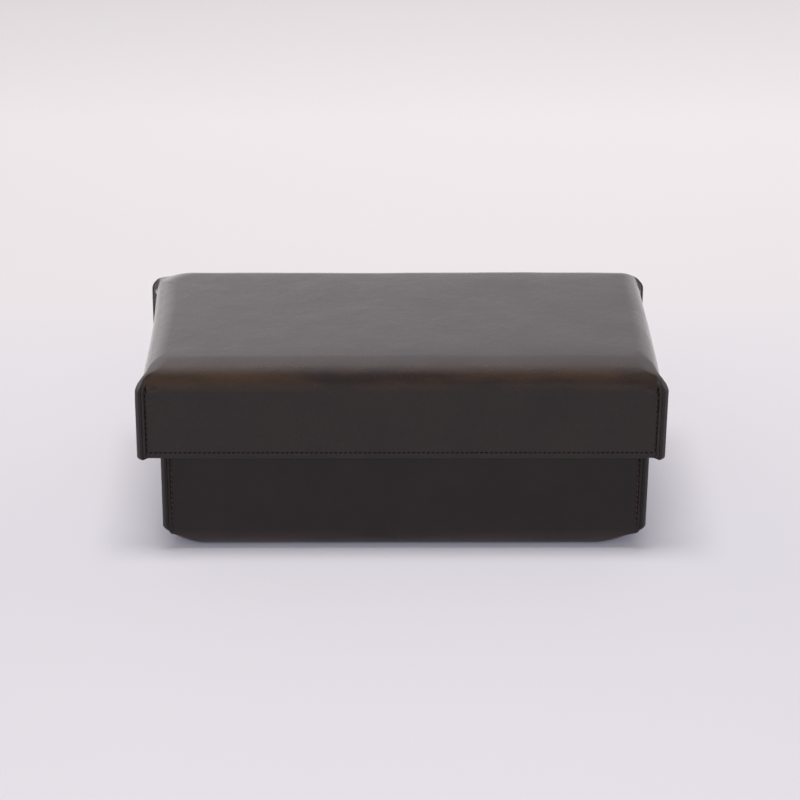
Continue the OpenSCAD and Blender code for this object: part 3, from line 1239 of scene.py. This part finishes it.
def nap_material(name, dark, light, fibre_scale):
    material, tree, surface = new_material(name)
    fibres = placed_group(
        tree, nap, Place=object_place(tree), Fibre_Scale=fibre_scale, Dark=dark, Light=light
    )
    feed(tree, surface, Base_Color=fibres["Colour"], Roughness=fibres["Roughness"],
         Normal=bumped(tree, fibres["Fibre"], 0.5, NAP_DEPTH), Specular_IOR_Level=NAP_SPECULAR)
    return material


suede = nap_material("brown_suede", srgb(84, 60, 46), srgb(122, 90, 70), 1400.0)
leatherboard = nap_material("leatherboard", srgb(140, 116, 88), srgb(176, 150, 118), 500.0)
print("linings and boards:", suede.name, leatherboard.name)

# %% [markdown]
# ## Handing out the finishes
#
# Every piece gets its material, and so does every solid that comes from the CAD model: the boards
# of the walls stay as they are, and the solids that are replaced keep a fitting finish. The two
# halves share their suede and board, as if cut from the same stock; the base's leather is a darker
# copy of the lid's, and the lid's thread a near-black copy of the base's, both painted shade.

# %% Hand out the finishes
def finish_with(piece, material):
    piece.data.materials.clear()
    piece.data.materials.append(material)


for body, leather in leathers.items():
    finish_with(leather, waxed[body])
for lining in linings:
    finish_with(lining, suede)
for board in boards:
    finish_with(board, leatherboard)
for thread in threads:
    finish_with(thread, thread_painted_shade_on_lid if thread.name.startswith("lid") else thread_on_base)
for name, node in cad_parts.items():
    if name.endswith("_shell"):
        finish_with(node, waxed[name.split("_")[0]])
    else:
        finish_with(node, suede if name.endswith("_lining") else leatherboard)
print("CAD nodes finished:", len(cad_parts))

# %% [markdown]
# ## The table
#
# The box stands on a pale table that grows brighter towards a wall behind it. A lit wall could be
# a second plane, but it would light the box as well. So the table glows for the camera, more
# towards the back, and for mirrored rays only beside and behind the box, which keeps the front
# walls dark. Other light isn't changed, and the table keeps the box's shadow.

# %% Table
TABLE_SIZE = 12
TABLE_TONES = (0.72, 0.685, 0.705, 1.0), (0.74, 0.705, 0.725, 1.0)
GLOW_TONES = (0.7, 0.76, 1.0, 1.0), (0.96, 0.92, 0.93, 1.0)
TONE_TURNS = -0.08, 0.3
SEEN_RISES, SEEN_FALLS = (-0.1, 0.7, 0.125, 0.39), (0.6, 1.1, 0.39, 0.33)
SEEN_ACROSS = -0.5, 0.5, 0.85, 1.03
MIRROR_NEAR, MIRROR_FAR = (-0.09, -0.062, 0.0, 0.28), (-0.05, 0.12, 0.0, 0.95)
MIRROR_ACROSS = -0.3, 0.4, 1.0, 0.8

bpy.ops.mesh.primitive_plane_add(size=TABLE_SIZE, location=(0, 0, 0))
table_top = bpy.context.object
table_top.name = "table_top"
paint, tree, surface = new_material("pale_table")
place = object_place(tree)
spot = add_node(tree, "ShaderNodeSeparateXYZ", Vector=place)
across, behind = spot.outputs["X"], spot.outputs["Y"]
path = tree.nodes.new("ShaderNodeLightPath")


def glow(ray, first, second, operation, sideways):
    """Glow for one kind of ray: two ranges from front to back, and one from side to side."""
    depth = combined(tree, operation, mapped(tree, behind, *first), mapped(tree, behind, *second))
    depth = combined(tree, "MULTIPLY", path.outputs[ray], depth)
    return combined(tree, "MULTIPLY", depth, mapped(tree, across, *sideways))


seen_glow = glow("Is Camera Ray", SEEN_RISES, SEEN_FALLS, "MINIMUM", SEEN_ACROSS)
mirrored_glow = glow("Is Glossy Ray", MIRROR_NEAR, MIRROR_FAR, "MAXIMUM", MIRROR_ACROSS)
feed(
    tree, surface,
    Base_Color=mixed(tree, noise(tree, place, 2.0), *TABLE_TONES),
    Emission_Color=mixed(tree, mapped(tree, behind, *TONE_TURNS), *GLOW_TONES),
    Emission_Strength=combined(tree, "ADD", seen_glow, mirrored_glow),
    Roughness=0.9,
    Specular_IOR_Level=0.1,
)
finish_with(table_top, paint)
print("table glow at the back, seen and mirrored:", SEEN_RISES[3], MIRROR_FAR[3])

# %% [markdown]
# ## The room
#
# What makes waxed leather look waxed is what it mirrors. The room is bright above the box and
# dimmer towards the camera, with a low band of light at both sides for the side bends. A photo of
# a studio could stand there, but a few ranges over the direction do it with no file. Only
# mirrored rays see these lights: for all others the room is even and dim, and the camera sees a
# plain pale wall.

# %% World
BEHIND_TO_ABOVE, ABOVE_TO_CAMERA = (0.5, 1.25, 1.3, 2.5), (1.7, 2.45, 2.5, 0.42)
SIDE_FROM_TO = 0.5, 0.85
SIDE_BY_HEIGHT = 0.25, 0.7, 1.45, 0.0
LEFT_TO_RIGHT = -0.2, 0.25, 1.3, 0.9
MIDDLE_TO_SIDES = 0.12, 0.4, 1.0, 1.15
EVEN_LEVEL = 0.25
ROOM_TONE, WALL_TONE = srgb(248, 242, 246), srgb(236, 233, 235)

world = bpy.data.worlds.new("studio_room")
bpy.context.scene.world = world
world.use_nodes = True
tree = world.node_tree
looking = tree.nodes.new("ShaderNodeTexCoord").outputs["Generated"]
direction = add_node(tree, "ShaderNodeSeparateXYZ", Vector=looking).outputs
over = combined(tree, "ARCTAN2", direction["Z"], direction["Y"])
side = add_node(
    tree, "ShaderNodeMath", {"operation": "ABSOLUTE"}, i0=direction["X"]
).outputs[0]
overhead = combined(tree, "MINIMUM", mapped(tree, over, *ABOVE_TO_CAMERA),
                    mapped(tree, over, *BEHIND_TO_ABOVE))
beside = combined(tree, "MULTIPLY", mapped(tree, side, *SIDE_FROM_TO),
                  mapped(tree, direction["Z"], *SIDE_BY_HEIGHT))
tilt = combined(tree, "MULTIPLY", mapped(tree, direction["X"], *LEFT_TO_RIGHT),
                mapped(tree, side, *MIDDLE_TO_SIDES))
gloss_level = combined(tree, "MULTIPLY", combined(tree, "MAXIMUM", overhead, beside), tilt)
path = tree.nodes.new("ShaderNodeLightPath").outputs
level = add_node(tree, "ShaderNodeMix", {"data_type": "FLOAT"}, i0=path["Is Glossy Ray"],
                 i2=EVEN_LEVEL, i3=gloss_level).outputs[0]
strength = add_node(tree, "ShaderNodeMix", {"data_type": "FLOAT"}, i0=path["Is Camera Ray"],
                    i2=level, i3=1.0).outputs[0]
feed(tree, tree.nodes["Background"], Strength=strength,
     Color=mixed(tree, path["Is Camera Ray"], ROOM_TONE, WALL_TONE))
bpy.context.scene.view_settings.view_transform = "Standard"
print("room level, even and at its brightest:", EVEN_LEVEL, ABOVE_TO_CAMERA[2])

# %% [markdown]
# ## The lamps
#
# A large soft lamp overhead lights the table and the top evenly and gives the soft shadow under
# the box, and a weak one in front keeps the front walls readable. Neither is mirrored, since the
# room already gives the leather its gloss. Small lamps or a sun would draw hard shadows.

# %% Lamps
def softbox(name, place, width, depth, watts):
    """A rectangular soft lamp that lights the box but isn't mirrored in it."""
    bpy.ops.object.light_add(type="AREA", location=place)
    lamp = bpy.context.object
    lamp.name = name
    lamp.data.shape = "RECTANGLE"
    lamp.data.size, lamp.data.size_y = width, depth
    lamp.data.energy = watts
    lamp.visible_glossy = False
    return lamp


overhead_lamp = softbox("overhead_softbox", (-0.1, -0.32, 2.2), 1.2, 0.7, 31)
front_lamp = softbox("front_softbox", (-0.15, -1.6, 1.3), 1.8, 0.9, 7)
front_lamp.rotation_euler = (-front_lamp.location).to_track_quat("-Z", "Y").to_euler()
print("lamps, in watts:", overhead_lamp.data.energy, front_lamp.data.energy)
